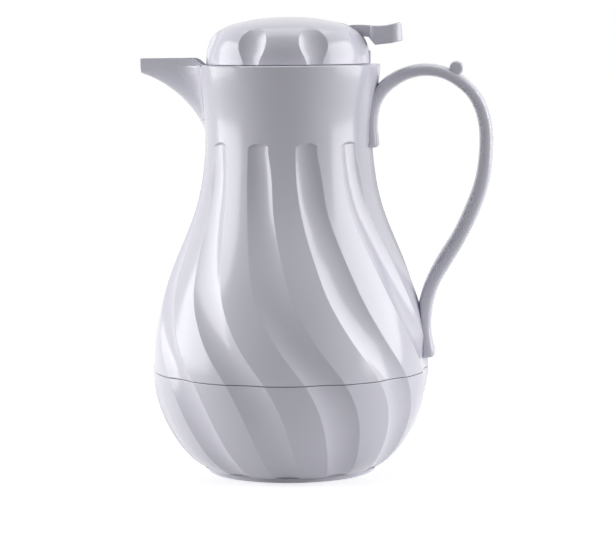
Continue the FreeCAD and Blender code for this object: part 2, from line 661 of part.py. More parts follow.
def dome_outline(inset):
    """Give the dome's outline, or the same outline moved inwards."""
    outline = [Vector(0, 0, SIZE["dome_top"])] + [Vector(r, 0, z) for r, z in DOME_SHOULDER]
    outline += [Vector(SIZE["dome_radius"], 0, 238.0), Vector(SIZE["dome_radius"], 0, SIZE["dome_low"])]
    curve = smooth(outline, Vector(1, 0, 0), Vector(0, 0, -1))
    if inset == 0:
        return curve
    points = []
    for place in outline:
        tangent = curve.tangent(curve.parameter(place))[0]
        points.append(place + Vector(tangent.z, 0, -tangent.x) * inset)
    points[0] = Vector(0, 0, SIZE["dome_top"] - inset)
    return smooth(points, Vector(1, 0, 0), Vector(0, 0, -1))


def radius_on(curve, height):
    """Give the radius of a falling outline at a height."""
    low, high = curve.FirstParameter, curve.LastParameter
    for _ in range(40):
        middle = (low + high) / 2
        if curve.value(middle).z > height:
            low = middle
        else:
            high = middle
    return curve.value(low).x


def under(curve):
    """Turn the space under a falling outline."""
    start, end = curve.value(curve.FirstParameter), curve.value(curve.LastParameter)
    foot = Vector(0, 0, end.z)
    return turned_solid([curve.toShape(), line(end, foot), line(foot, start)])


def make_dome():
    """Make the lid's dome: a thin shell with finger scallops, a slot for the lever and a stop rib."""
    low, wall = SIZE["dome_low"], SIZE["dome_wall"]
    flange_top = low + SIZE["flange_height"]
    count = int(SIZE["scallop_count"])
    step = 360 / count
    outside = under(dome_outline(0.0))
    inside = under(dome_outline(wall))
    backing = scallop_cutter(wall).common(slab(flange_top + SIZE["bead_height"], SIZE["dome_top"] + 8))
    for number in range(count):
        outside = outside.cut(about_axis(scallop_cutter(0.0), (number + 0.5) * step))
        inside = inside.cut(about_axis(backing, (number + 0.5) * step))
    bead = slab(flange_top, flange_top + SIZE["bead_height"], SIZE["dome_radius"])
    bead = bead.cut(slab(flange_top, flange_top + SIZE["bead_height"],
                         SIZE["dome_radius"] - wall - SIZE["bead_reach"]))
    inset, width = 2.2, SIZE["rib_width"]
    rib = Part.makeBox(inset + SIZE["rib_proud"], width, SIZE["rib_height"],
                       Vector(SIZE["dome_radius"] - inset, -width / 2, low))
    rib = rib.makeFillet(0.6, [edge for edge in rib.Edges if edge.BoundBox.XMin > SIZE["dome_radius"]])
    inside = inside.cut(bead)
    slot_width = SIZE["arm_width"] + 2 * SIZE["slot_clearance"]
    slot = Part.makeBox(SIZE["dome_radius"], slot_width, 20,
                        Vector(SIZE["slot_reach"], -slot_width / 2, SIZE["slot_low"]))
    dome = outside.fuse(rib).cut(inside).cut(slot)
    return add_shape("lid_dome", one_solid(dome))


def make_stopper():
    """Make the stopper: a sealing flange, a pouring chamber with ports, and a threaded top ring."""
    body = turned_body("lid_stopper", [
        ("orifice_radius", "chamber_floor"), ("stopper_radius - 4.3", "chamber_floor"),
        ("stopper_radius - 4.3", "chamber_floor - 1.5"), ("stopper_radius", "chamber_floor - 1.5"),
        ("stopper_radius", "chamber_floor + 0.4"), ("stopper_radius - 2.3", "chamber_floor + 0.4"),
        ("stopper_radius - 2.3", "chamber_floor + 3.6"), ("stopper_radius", "chamber_floor + 3.6"),
        ("stopper_radius", "chamber_floor + 5.5"), ("stopper_wall_radius", "chamber_floor + 5.5"),
        ("stopper_wall_radius", "collar_thread_low - 1"), ("stopper_radius", "collar_thread_low + 2"),
        ("stopper_radius", "dome_low"), ("dome_radius - dome_wall", "dome_low"),
        ("dome_radius - dome_wall", "dome_low + flange_height"),
        ("stopper_radius - 2.3", "dome_low + flange_height"),
        ("stopper_radius - 2.3", "collar_thread_low + 3.4"), ("chamber_radius", "collar_thread_low + 0.6"),
        ("chamber_radius", "chamber_floor + 3"), ("orifice_radius + 2.4", "chamber_floor + 3"),
        ("orifice_radius + 1.6", "chamber_floor + 4.2"), ("orifice_radius", "chamber_floor + 4.2")])

    ports = side_sketch(body, "port_outline", [
        ("0 - port_half_width", "port_low"), ("port_half_width", "port_low"),
        ("port_half_width", "port_low + port_height"), ("0 - port_half_width", "port_low + port_height")],
        role="YZ_Plane")
    pocket = body.newObject("PartDesign::Pocket", "ports_cut")
    pocket.Profile = ports
    pocket.Length = SIZE["stopper_wall_radius"] + 4
    pocket.Reversed = True
    doc.recompute()
    pattern = body.newObject("PartDesign::PolarPattern", "ports_round")
    pattern.Originals = [pocket]
    pattern.Axis = origin_axis(body, "Z_Axis")
    pattern.Angle = 360
    pattern.Occurrences = 3
    body.Tip = pattern
    doc.recompute()
    add_columns(body)
    return body


def column_places():
    """Give the places of the screw columns round the axis."""
    reach = SIZE["column_ring"]
    return [(reach * math.cos(math.radians(angle)), reach * math.sin(math.radians(angle)))
            for angle in COLUMN_ANGLES]


def circle_sketch(body, name, places, radius_text, height_text="0", role="XY_Plane"):
    """Add a sketch of equal circles to a body, on a plane parallel to one of its origin planes."""
    sketch = body.newObject("Sketcher::SketchObject", name)
    sketch.AttachmentSupport = [(origin_plane(body, role), "")]
    sketch.MapMode = "FlatFace"
    if height_text != "0":
        sketch.setExpression("AttachmentOffset.Base.z", sheet_expression(height_text))
    radius = evaluate(radius_text)
    for index, (x, y) in enumerate(places):
        sketch.addGeometry(Part.Circle(Vector(x, y, 0), Vector(0, 0, 1), radius), False)
        number = sketch.addConstraint(Sketcher.Constraint("Radius", index, radius))
        sketch.setExpression(f"Constraints[{number}]", sheet_expression(radius_text))
        sketch.addConstraint(Sketcher.Constraint("DistanceX", -1, 1, index, 3, x))
        sketch.addConstraint(Sketcher.Constraint("DistanceY", -1, 1, index, 3, y))
    return sketch


def extrude(body, kind, name, sketch, length_text, midplane=False):
    """Pad or pocket a sketch by a length held by the sheet."""
    feature = body.newObject(f"PartDesign::{kind}", name)
    feature.Profile = sketch
    feature.Midplane = midplane
    feature.setExpression("Length", sheet_expression(length_text))
    doc.recompute()
    return feature


def add_columns(body):
    """Add the stopper's three screw columns with their screw holes."""
    places = column_places()
    columns = circle_sketch(body, "columns_outline", places, "column_radius", "chamber_floor + 3")
    extrude(body, "Pad", "columns", columns, "plate_low - chamber_floor - 3")
    holes = circle_sketch(body, "column_holes_outline", places, "screw_radius", "plate_low")
    extrude(body, "Pocket", "column_holes", holes, "screw_bite + 0.5")


def make_plate():
    """Make the stopper plate: the chamber's ceiling, the stem's guide and the lever's two ears."""
    body = turned_body("stopper_plate", [
        ("stem_radius + pivot_clearance", "plate_low"), ("chamber_radius - 0.1", "plate_low"),
        ("chamber_radius - 0.1", "collar_thread_low + 0.6"), ("chamber_radius - 0.5", "plate_high"),
        ("stem_radius + 3", "plate_high"), ("stem_radius + 3", "plate_high + 5"),
        ("stem_radius + pivot_clearance", "plate_high + 5")])
    ear = side_sketch(body, "ear_outline", [
        ("pivot_reach - 4.5", "plate_high - 0.5"), ("pivot_reach + 3.2", "plate_high - 0.5"),
        ("pivot_reach + 4.5", "plate_high + 3"),
        ("pivot_reach + 4", "pivot_height"), ("pivot_reach + 2.8", "pivot_height + 3"),
        ("pivot_reach", "pivot_height + 4.2"), ("pivot_reach - 2.8", "pivot_height + 3"),
        ("pivot_reach - 4", "pivot_height")])
    ear.setExpression("AttachmentOffset.Base.z", "Sizes.ear_gap")
    pad = extrude(body, "Pad", "ear", ear, "ear_thickness")
    mirror = body.newObject("PartDesign::Mirrored", "ear_mirrored")
    mirror.Originals = [pad]
    mirror.MirrorPlane = (origin_plane(body, "XZ_Plane"), [""])
    body.Tip = mirror
    doc.recompute()
    bore = circle_sketch(body, "pin_bore_outline", [(SIZE["pivot_reach"], SIZE["pivot_height"])],
                         "pin_radius", role="XZ_Plane")
    extrude(body, "Pocket", "pin_bore", bore, "ear_gap + ear_gap + 12", midplane=True)
    holes = circle_sketch(body, "plate_holes_outline", column_places(), "screw_radius + 0.2",
                          "plate_high + 0.5")
    extrude(body, "Pocket", "plate_holes", holes, "6")
    return body


def make_lever_pin():
    """Make the lever's pin with its two heads, lying along Y through the ears."""
    outer = "ear_gap + ear_thickness"
    body = turned_body("lever_pin", [
        ("0", "0 - ear_gap - ear_thickness - 0.9"), ("pin_radius + 0.8", "0 - ear_gap - ear_thickness - 0.9"),
        ("pin_radius + 0.8", "0 - ear_gap - ear_thickness"), ("pin_radius", "0 - ear_gap - ear_thickness"),
        ("pin_radius", outer), ("pin_radius + 1.2", outer), ("pin_radius + 1.2", outer + " + 1.2"),
        ("0", outer + " + 1.2")])
    body.Placement = Placement(Vector(SIZE["pivot_reach"], 0, SIZE["pivot_height"]),
                               Rotation(Vector(1, 0, 0), 90))
    return body


def make_lid_screws():
    """Make the three screws that hold the plate down on the stopper's columns."""
    screws = []
    for x, y in column_places():
        low, high = SIZE["plate_low"] - SIZE["screw_bite"], SIZE["plate_high"]
        shank = Part.makeCylinder(SIZE["screw_radius"], high - low, Vector(x, y, low))
        head = Part.makeCylinder(SIZE["screw_head_radius"], SIZE["screw_head_height"],
                                 Vector(x, y, high))
        rim = [edge for edge in head.Edges if edge.BoundBox.ZMin > high + 1]
        screws.append(one_solid(head.makeChamfer(0.7, rim).fuse(shank)))
    return add_shape("lid_screws", Part.makeCompound(screws))


def make_lever():
    """Make the lever: a thumb paddle, an arm through the dome's slot and a fork at the valve stem."""
    pivot = Vector(SIZE["pivot_reach"], 0, SIZE["pivot_height"])
    top = [Vector(x, 0, z) for x, z in LEVER_TOP]
    under_paddle = [Vector(x, 0, z) for x, z in LEVER_UNDER]
    inner = [Vector(x, 0, z) for x, z in LEVER_INNER]
    corners = [top[-1]] + under_paddle + inner + [top[0]]
    edges = [smooth(top).toShape()] + [line(start, end) for start, end in zip(corners, corners[1:])]
    side = Part.Face(Part.Wire(edges))
    arm = side.extrude(Vector(0, SIZE["arm_width"], 0))
    arm.translate(Vector(0, -SIZE["arm_width"] / 2, 0))
    half = SIZE["paddle_width"] / 2
    block = side.extrude(Vector(0, 2 * half, 0))
    block.translate(Vector(0, -half, 0))
    root, tip = LEVER_PADDLE
    plan = Part.makeBox(tip - root, 2 * half, 30, Vector(root, -half, 235))
    for place, radius in ((root, 3.0), (tip, 6.5)):
        upright = [edge for edge in plan.Edges if edge.BoundBox.ZLength > 29
                   and abs(edge.BoundBox.XMin - place) < 0.01 and edge.BoundBox.XLength < 0.01]
        plan = plan.makeFillet(radius, upright)
    hollow = Part.makeBox(tip - root - 8.0, 2 * half - 4.4, 8.0, Vector(root + 5.6, 2.2 - half, 245.0))
    hollow = hollow.makeFillet(2.0, [edge for edge in hollow.Edges if edge.BoundBox.ZLength > 7])
    paddle = block.common(plan)
    paddle = paddle.makeFillet(SIZE["lever_round"], paddle.Edges)
    lever = arm.fuse(paddle).cut(hollow)
    bore = Part.makeCylinder(SIZE["pin_radius"] + SIZE["pivot_clearance"], 60, pivot - Vector(0, 30, 0),
                             Vector(0, 1, 0))
    slot_half = SIZE["stem_radius"] + 0.4
    slot = Part.makeBox(12, 2 * slot_half, 30, Vector(-10, -slot_half, 235))
    slot = slot.fuse(Part.makeCylinder(slot_half, 30, Vector(2, 0, 235)))
    return add_shape("lever", one_solid(lever.cut(bore).cut(slot)))


def make_spring():
    """Make the valve spring: a six-sided wire wound in a helix between the disc and the plate."""
    wire = SIZE["spring_wire"]
    low = SIZE["disc_high"] + wire
    high = SIZE["plate_low"] - wire
    pitch = (high - low) / SIZE["spring_turns"]
    helix = Part.makeHelix(pitch, high - low, SIZE["spring_radius"])
    helix.translate(Vector(0, 0, low))
    corners = [Vector(SIZE["spring_radius"] + wire * math.cos(math.radians(angle)), 0,
                      low + wire * math.sin(math.radians(angle))) for angle in range(0, 361, 60)]
    coil = Part.Wire(helix.Edges).makePipeShell([Part.makePolygon(corners)], True, True)
    return add_shape("valve_spring", one_solid(coil))


def make_valve():
    """Make the pour valve: its stem, disc, soft seal and the clip that the lever's fork lifts."""
    clip_low, clip_high = "stem_top - 2.2", "stem_top - 1"
    turned_body("valve_stem", [
        ("0", "seal_low + 0.3"), ("stem_radius + 3.5", "seal_low + 0.3"), ("stem_radius + 3.5", "disc_low"),
        ("stem_radius", "disc_low"), ("stem_radius", clip_low), ("stem_radius - 0.6", clip_low),
        ("stem_radius - 0.6", clip_high), ("stem_radius", clip_high), ("stem_radius", "stem_top - 0.4"),
        ("stem_radius - 0.4", "stem_top"), ("0", "stem_top")])
    turned_body("valve_disc", [
        ("stem_radius", "disc_low"), ("disc_radius", "disc_low"), ("disc_radius", "disc_high - 0.8"),
        ("disc_radius - 0.8", "disc_high"), ("stem_radius + 2.7", "disc_high"),
        ("stem_radius + 2.7", "disc_high + 6"), ("stem_radius", "disc_high + 6")])
    turned_body("valve_seal", ring("stem_radius + 5.5", "disc_radius - 0.2", "seal_low", "disc_low"))
    clip = turned_body("stem_clip", ring("stem_radius - 0.6", "stem_radius + 3", clip_low, clip_high))
    mouth = side_sketch(clip, "clip_mouth_outline", [
        ("0 - 1.4", "stem_top - 3"), ("1.4", "stem_top - 3"), ("1.4", "stem_top"), ("0 - 1.4", "stem_top")],
        role="YZ_Plane")
    extrude(clip, "Pocket", "clip_mouth", mouth, "stem_radius + 4")


def make_gasket():
    """Make the lid's gasket, which sits in the stopper's groove."""
    return turned_body("lid_gasket", [
        ("stopper_radius - 2.15", "chamber_floor + 0.55"), ("stopper_radius", "chamber_floor + 0.55"),
        ("stopper_radius + 0.4", "chamber_floor + 1.2"), ("stopper_radius + 0.4", "chamber_floor + 2.8"),
        ("stopper_radius", "chamber_floor + 3.45"), ("stopper_radius - 2.15", "chamber_floor + 3.45")])


def check_document():
    """Stop if any object failed or any sub-part is empty or broken."""
    for item in doc.Objects:
        if "Invalid" in item.State or "Error" in item.State:
            raise RuntimeError(f"{item.Name} failed: {item.State}")
    for node in NODES:
        if node.Shape.isNull() or not node.Shape.isValid():
            raise RuntimeError(f"{node.Label} has no valid shape")


def main():
    """Build every sub-part and write it out."""
    fluted = make_fluted_body()
    channel = make_spout_channel()
    hollow = make_shells(fluted, channel)
    make_base_cap()
    liner_outside = make_liner()
    make_collar(hollow, liner_outside, channel)
    make_liner_seal()
    make_handle(fluted)
    make_handle_screws()
    make_foam(hollow, liner_outside, [node.Shape for node in NODES
                                      if node.Label in ("upper_shell", "lower_shell", "handle_screws")])
    make_gasket()
    make_dome()
    make_stopper()
    make_plate()
    make_lever_pin()
    make_lid_screws()
    make_spring()
    make_lever()
    make_valve()
    doc.recompute()
    check_document()
    os.makedirs("parts", exist_ok=True)
    for node in NODES:
        node.Shape.exportStep(f"parts/{node.Label}.step")
        print(f"{node.Label}: {len(node.Shape.Solids)} solid(s), {node.Shape.Volume / 1000:.1f} cm3")


main()
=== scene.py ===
"""Looks of an insulated coffee server: finishes, fine moulded detail, studio and camera.

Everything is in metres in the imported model's frame: +Z up, the spout along -X, the handle along +X.
"""
import logging
import math
from dataclasses import dataclass, field
from enum import Enum
from typing import Sequence

import bmesh
import bpy
from mathutils import Matrix, Vector


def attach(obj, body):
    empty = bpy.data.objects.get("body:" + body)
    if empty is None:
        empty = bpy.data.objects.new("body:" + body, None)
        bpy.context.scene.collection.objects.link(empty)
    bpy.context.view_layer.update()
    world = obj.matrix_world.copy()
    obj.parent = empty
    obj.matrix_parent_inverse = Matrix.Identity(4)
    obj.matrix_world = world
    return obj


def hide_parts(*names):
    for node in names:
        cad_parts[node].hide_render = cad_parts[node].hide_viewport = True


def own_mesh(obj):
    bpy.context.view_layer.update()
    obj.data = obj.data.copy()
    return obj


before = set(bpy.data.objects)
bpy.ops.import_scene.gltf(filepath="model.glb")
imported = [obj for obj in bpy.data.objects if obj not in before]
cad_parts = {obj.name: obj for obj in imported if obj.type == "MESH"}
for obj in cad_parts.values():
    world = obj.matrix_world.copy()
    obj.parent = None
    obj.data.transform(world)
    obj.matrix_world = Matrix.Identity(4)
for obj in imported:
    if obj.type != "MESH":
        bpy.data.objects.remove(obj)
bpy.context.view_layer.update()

LOG = logging.getLogger("coffee_server")
MM = 0.001
EDGE_ROUND = 0.7 * MM        # how softly light runs over a moulded edge
SHARP_ANGLE = 35.0           # degrees between faces from which an edge stays crisp
COAT_ROUGHNESS = 0.08
PLASTIC_IOR = 1.5
SUBSURFACE_REACH = 2.0 * MM


# ---------------------------------------------------------------- finishes

class Slot(Enum):
    """Material slot names, which nothing in this script reads."""

    SHELL = "shell_white"
    LID = "lid_white"
    SPRING = "spring_steel"


@dataclass(frozen=True)
class Finish:
    """A finish as numbers: colour, gloss and the small unevenness of the surface.

    The lengths are in metres; grain_height is the depth of the surface's fine waviness.
    """

    name: str
    colour: tuple[float, float, float]
    shade: tuple[float, float, float]
    rough_low: float
    rough_high: float
    grain_size: float
    grain_height: float
    metallic: float = 0.0
    coat: float = 0.0
    subsurface: float = 0.0


GLOSS_SHELL = Finish("gloss_shell", (0.695, 0.690, 0.768), (0.650, 0.645, 0.728), 0.20, 0.24,
                     0.0030, 2.5e-6, coat=0.25, subsurface=0.02)
GLOSS_LID = Finish("gloss_lid", (0.700, 0.695, 0.770), (0.660, 0.655, 0.735), 0.225, 0.245,
                   0.0030, 1.5e-6, coat=0.2, subsurface=0.02)
SATIN_LINER = Finish("satin_liner", (0.76, 0.755, 0.75), (0.70, 0.695, 0.69), 0.34, 0.46, 0.0020, 5e-6)
FOAM = Finish("foam", (0.72, 0.62, 0.38), (0.55, 0.46, 0.26), 0.85, 0.95, 0.0012, 1.2e-4)
SILICONE = Finish("silicone", (0.58, 0.57, 0.55), (0.50, 0.49, 0.47), 0.46, 0.60, 0.0015, 8e-6)
STAINLESS = Finish("stainless", (0.60, 0.59, 0.57), (0.48, 0.47, 0.46), 0.22, 0.38,
                   0.0006, 3e-6, metallic=1.0)


class MouldedSurface:
    """The node group that all finishes share.

    It gives a slow drift of shade, patchy gloss, fine waviness and softened edges.
    """

    drift_scale = 9.0
    patch_scale = 28.0
    detail = 2.0
    drift_span = (0.35, 0.68)
    patch_span = (0.38, 0.66)
    edge_samples = 8

    def __init__(self) -> None:
        """Make the group with its named inputs and outputs."""
        tree = bpy.data.node_groups.new("moulded_surface", "ShaderNodeTree")
        self.tree = tree
        inputs = (("Colour", "NodeSocketColor"), ("Shade", "NodeSocketColor"),
                  ("Rough low", "NodeSocketFloat"), ("Rough high", "NodeSocketFloat"),
                  ("Grain scale", "NodeSocketFloat"))
        for name, kind in inputs:
            tree.interface.new_socket(name=name, in_out="INPUT", socket_type=kind)
        for name, kind in (("Colour", "NodeSocketColor"), ("Roughness", "NodeSocketFloat"),
                           ("Height", "NodeSocketFloat"), ("Edge normal", "NodeSocketVector")):
            tree.interface.new_socket(name=name, in_out="OUTPUT", socket_type=kind)
        source = tree.nodes.new("NodeGroupInput")
        result = tree.nodes.new("NodeGroupOutput")
        place = tree.nodes.new("ShaderNodeTexCoord")
        drift = self._noise(place, self.drift_scale)
        patches = self._noise(place, self.patch_scale)
        grain = tree.nodes.new("ShaderNodeTexNoise")
        grain.inputs["Detail"].default_value = self.detail
        tree.links.new(place.outputs["Object"], grain.inputs["Vector"])
        tree.links.new(source.outputs["Grain scale"], grain.inputs["Scale"])
        soft = self._ramp(drift.outputs["Fac"], *self.drift_span)
        blend = tree.nodes.new("ShaderNodeMix")
        blend.data_type = "RGBA"
        tree.links.new(soft.outputs["Result"], blend.inputs["Factor"])
        tree.links.new(source.outputs["Colour"], blend.inputs["A"])
        tree.links.new(source.outputs["Shade"], blend.inputs["B"])
        gloss = self._ramp(patches.outputs["Fac"], *self.patch_span)
        spread = tree.nodes.new("ShaderNodeMix")
        tree.links.new(gloss.outputs["Result"], spread.inputs["Factor"])
        tree.links.new(source.outputs["Rough low"], spread.inputs["A"])
        tree.links.new(source.outputs["Rough high"], spread.inputs["B"])
        tree.links.new(blend.outputs["Result"], result.inputs["Colour"])
        tree.links.new(spread.outputs["Result"], result.inputs["Roughness"])
        tree.links.new(grain.outputs["Fac"], result.inputs["Height"])
        soft_edge = tree.nodes.new("ShaderNodeBevel")
        soft_edge.samples = self.edge_samples
        soft_edge.inputs["Radius"].default_value = EDGE_ROUND
        tree.links.new(soft_edge.outputs["Normal"], result.inputs["Edge normal"])

    def _noise(self, place: bpy.types.Node, scale: float) -> bpy.types.Node:
        """Add a noise that reads the object's own coordinates.

        Args:
            place: the node that gives the coordinates.
            scale: how fine the noise is.

        Returns:
            The noise's node.
        """
        noise = self.tree.nodes.new("ShaderNodeTexNoise")
        noise.inputs["Scale"].default_value = scale
        noise.inputs["Detail"].default_value = self.detail
        self.tree.links.new(place.outputs["Object"], noise.inputs["Vector"])
        return noise

    def _ramp(self, source: bpy.types.NodeSocket, low: float, high: float) -> bpy.types.Node:
        """Add a smooth step from 0 at low to 1 at high.

        Args:
            source: the value that the step reads.
            low: where the step starts.
            high: where it ends.

        Returns:
            The step's node.
        """
        ramp = self.tree.nodes.new("ShaderNodeMapRange")
        ramp.interpolation_type = "SMOOTHSTEP"
        ramp.inputs["From Min"].default_value = low
        ramp.inputs["From Max"].default_value = high
        self.tree.links.new(source, ramp.inputs["Value"])
        return ramp


class Paintbox:
    """Makes each finish's material once and hands it out."""

    def __init__(self) -> None:
        """Start with the shared surface group and no materials."""
        self.surface = MouldedSurface()
        self.made: dict[str, bpy.types.Material] = {}

    def get(self, finish: Finish) -> bpy.types.Material:
        """Give the material of a finish, made on first use.

        Args:
            finish: the finish's numbers.

        Returns:
            The material.
        """
        if finish.name not in self.made:
            self.made[finish.name] = self._make(finish)
        return self.made[finish.name]

    def _make(self, finish: Finish) -> bpy.types.Material:
        """Build one material round the shared group.

        Args:
            finish: the finish's numbers.

        Returns:
            The new material.
        """
        material = bpy.data.materials.new(finish.name)
        material.use_nodes = True
        nodes, links = material.node_tree.nodes, material.node_tree.links
        shader = nodes["Principled BSDF"]
        group = nodes.new("ShaderNodeGroup")
        group.node_tree = self.surface.tree
        group.inputs["Colour"].default_value = (*finish.colour, 1.0)
        group.inputs["Shade"].default_value = (*finish.shade, 1.0)
        group.inputs["Rough low"].default_value = finish.rough_low
        group.inputs["Rough high"].default_value = finish.rough_high
        group.inputs["Grain scale"].default_value = 1.0 / finish.grain_size
        bump = nodes.new("ShaderNodeBump")
        bump.inputs["Strength"].default_value = 1.0
        bump.inputs["Distance"].default_value = finish.grain_height
        links.new(group.outputs["Colour"], shader.inputs["Base Color"])
        links.new(group.outputs["Roughness"], shader.inputs["Roughness"])
        links.new(group.outputs["Height"], bump.inputs["Height"])
        links.new(group.outputs["Edge normal"], bump.inputs["Normal"])
        links.new(bump.outputs["Normal"], shader.inputs["Normal"])
        shader.inputs["Metallic"].default_value = finish.metallic
        shader.inputs["Coat Weight"].default_value = finish.coat
        shader.inputs["Coat Roughness"].default_value = COAT_ROUGHNESS
        shader.inputs["IOR"].default_value = PLASTIC_IOR
        shader.inputs["Subsurface Weight"].default_value = finish.subsurface
        shader.inputs["Subsurface Scale"].default_value = SUBSURFACE_REACH
        return material


NODE_FINISHES: dict[Finish, tuple[str, ...]] = {
    GLOSS_SHELL: ("upper_shell", "lower_shell", "base_cap", "neck_collar", "handle"),
    GLOSS_LID: ("lid_dome", "lid_stopper", "stopper_plate", "lever", "valve_stem", "valve_disc"),
    SATIN_LINER: ("liner",),
    FOAM: ("foam_insulation",),
    SILICONE: ("liner_seal", "lid_gasket", "valve_seal"),
    STAINLESS: ("handle_screws", "lever_pin", "lid_screws", "valve_spring", "stem_clip"),
}


def dress_nodes(paint: Paintbox) -> None:
    """Give every carried-over node its finish.

    Args:
        paint: the material maker.
    """
    for finish, names in NODE_FINISHES.items():
        for name in names:
            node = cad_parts[name]
            node.data.materials.clear()
            node.data.materials.append(paint.get(finish))
            LOG.info("%s finished in %s", name, finish.name)


# ---------------------------------------------------------------- studio

@dataclass
class Softbox:
    """A rectangular lamp that faces the object."""

    name: str
    place: tuple[float, float, float]
    size: tuple[float, float]
    power: float
    colour: tuple[float, float, float] = (1.0, 1.0, 1.0)
    aim: tuple[float, float, float] = (0.0, 0.0, 0.14)

    def build(self) -> None:
        """Make the lamp and turn it to its aim."""
        lamp = bpy.data.lights.new(self.name, "AREA")
        lamp.shape = "RECTANGLE"
        lamp.size, lamp.size_y = self.size
        lamp.energy = self.power
        lamp.color = self.colour
        holder = bpy.data.objects.new(self.name, lamp)
        bpy.context.collection.objects.link(holder)
        holder.location = self.place
        toward = Vector(self.aim) - Vector(self.place)
        holder.rotation_mode = "QUATERNION"
        holder.rotation_quaternion = toward.to_track_quat("-Z", "Y")
        LOG.info("%s placed", self.name)


@dataclass
class Studio:
    """The pale floor, the plain world and the soft lamps."""

    floor_size: float = 16.0
    near_white: float = 0.72
    far_white: float = 0.28
    white_span: tuple[float, float] = (0.12, 0.36)
    near_glow: float = 0.55
    far_glow: float = 1.0
    glow_span: tuple[float, float] = (0.12, 0.45)
    fill: float = 0.17
    fill_colour: tuple[float, float, float] = (0.95, 0.96, 1.0)
    lamps: list[Softbox] = field(default_factory=lambda: [
        Softbox("softbox_left", (-1.14, -0.09, 0.42), (0.95, 1.05), 13.2, aim=(0.0, 0.0, 0.17)),
        Softbox("softbox_right", (1.14, -0.09, 0.42), (0.95, 1.05), 12.8, aim=(0.0, 0.0, 0.17)),
        Softbox("softbox_top", (0.0, 0.15, 1.25), (1.2, 0.8), 4.8),
    ])

    def build(self) -> None:
        """Make the floor, the world and the lamps."""
        self._world()
        self._floor()
        for lamp in self.lamps:
            lamp.build()

    def _world(self) -> None:
        """Light the scene evenly and show white behind the object."""
        world = bpy.data.worlds.new("studio_world")
        bpy.context.scene.world = world
        world.use_nodes = True
        nodes, links = world.node_tree.nodes, world.node_tree.links
        plain = nodes["Background"]
        plain.inputs["Color"].default_value = (*self.fill_colour, 1.0)
        plain.inputs["Strength"].default_value = self.fill
        white = nodes.new("ShaderNodeBackground")
        white.inputs["Color"].default_value = (1.0, 1.0, 1.0, 1.0)
        white.inputs["Strength"].default_value = 1.0
        mix = nodes.new("ShaderNodeMixShader")
        links.new(seen_rays(world.node_tree), mix.inputs["Fac"])
        links.new(plain.outputs["Background"], mix.inputs[1])
        links.new(white.outputs["Background"], mix.inputs[2])
        links.new(mix.outputs["Shader"], nodes["World Output"].inputs["Surface"])

    def _floor(self) -> None:
        """Make the floor: matt and pale, lifted for the camera so that only the shadow shows."""
        mesh = bmesh.new()
        bmesh.ops.create_grid(mesh, x_segments=1, y_segments=1, size=self.floor_size / 2)
        floor = make_object("floor", mesh)
        material = bpy.data.materials.new("floor_white")
        material.use_nodes = True
        nodes, links = material.node_tree.nodes, material.node_tree.links
        shader = nodes["Principled BSDF"]
        shader.inputs["Roughness"].default_value = 0.9
        shader.inputs["Specular IOR Level"].default_value = 0.0
        place = nodes.new("ShaderNodeTexCoord")
        reach = nodes.new("ShaderNodeVectorMath")
        reach.operation = "LENGTH"
        links.new(place.outputs["Object"], reach.inputs[0])
        white = self._outward(material.node_tree, reach, self.white_span,
                              self.near_white, self.far_white)
        links.new(white, shader.inputs["Base Color"])
        seen = nodes.new("ShaderNodeMath")
        seen.operation = "MULTIPLY"
        links.new(seen_rays(material.node_tree), seen.inputs[0])
        strength = self._outward(material.node_tree, reach, self.glow_span,
                                 self.near_glow, self.far_glow)
        links.new(strength, seen.inputs[1])
        glow = nodes.new("ShaderNodeEmission")
        links.new(seen.outputs["Value"], glow.inputs["Strength"])
        both = nodes.new("ShaderNodeAddShader")
        links.new(shader.outputs["BSDF"], both.inputs[0])
        links.new(glow.outputs["Emission"], both.inputs[1])
        links.new(both.outputs["Shader"], nodes["Material Output"].inputs["Surface"])
        floor.data.materials.append(material)

    @staticmethod
    def _outward(tree: bpy.types.NodeTree, reach: bpy.types.Node, span: tuple[float, float],
                 near: float, far: float) -> bpy.types.NodeSocket:
        """Add a value that changes smoothly with the distance from the object.

        Args:
            tree: the floor's node tree.
            reach: the node that gives the distance.
            span: the distances at which the change starts and ends.
            near: the value close to the object.
            far: the value far from it.

        Returns:
            The value's output.
        """
        change = tree.nodes.new("ShaderNodeMapRange")
        change.interpolation_type = "SMOOTHSTEP"
        ends = (("From Min", span[0]), ("From Max", span[1]), ("To Min", near), ("To Max", far))
        for socket, value in ends:
            change.inputs[socket].default_value = value
        tree.links.new(reach.outputs["Value"], change.inputs["Value"])
        return change.outputs["Result"]


def seen_rays(tree: bpy.types.NodeTree) -> bpy.types.NodeSocket:
    """Add a mask that is 1 for rays from the camera, a mirror-like surface or clear material.

    Args:
        tree: the node tree to add it to.

    Returns:
        The mask's output.
    """
    path = tree.nodes.new("ShaderNodeLightPath")
    first = tree.nodes.new("ShaderNodeMath")
    first.operation = "MAXIMUM"
    tree.links.new(path.outputs["Is Camera Ray"], first.inputs[0])
    tree.links.new(path.outputs["Is Glossy Ray"], first.inputs[1])
    second = tree.nodes.new("ShaderNodeMath")
    second.operation = "MAXIMUM"
    tree.links.new(first.outputs["Value"], second.inputs[0])
    tree.links.new(path.outputs["Is Transmission Ray"], second.inputs[1])
    return second.outputs["Value"]


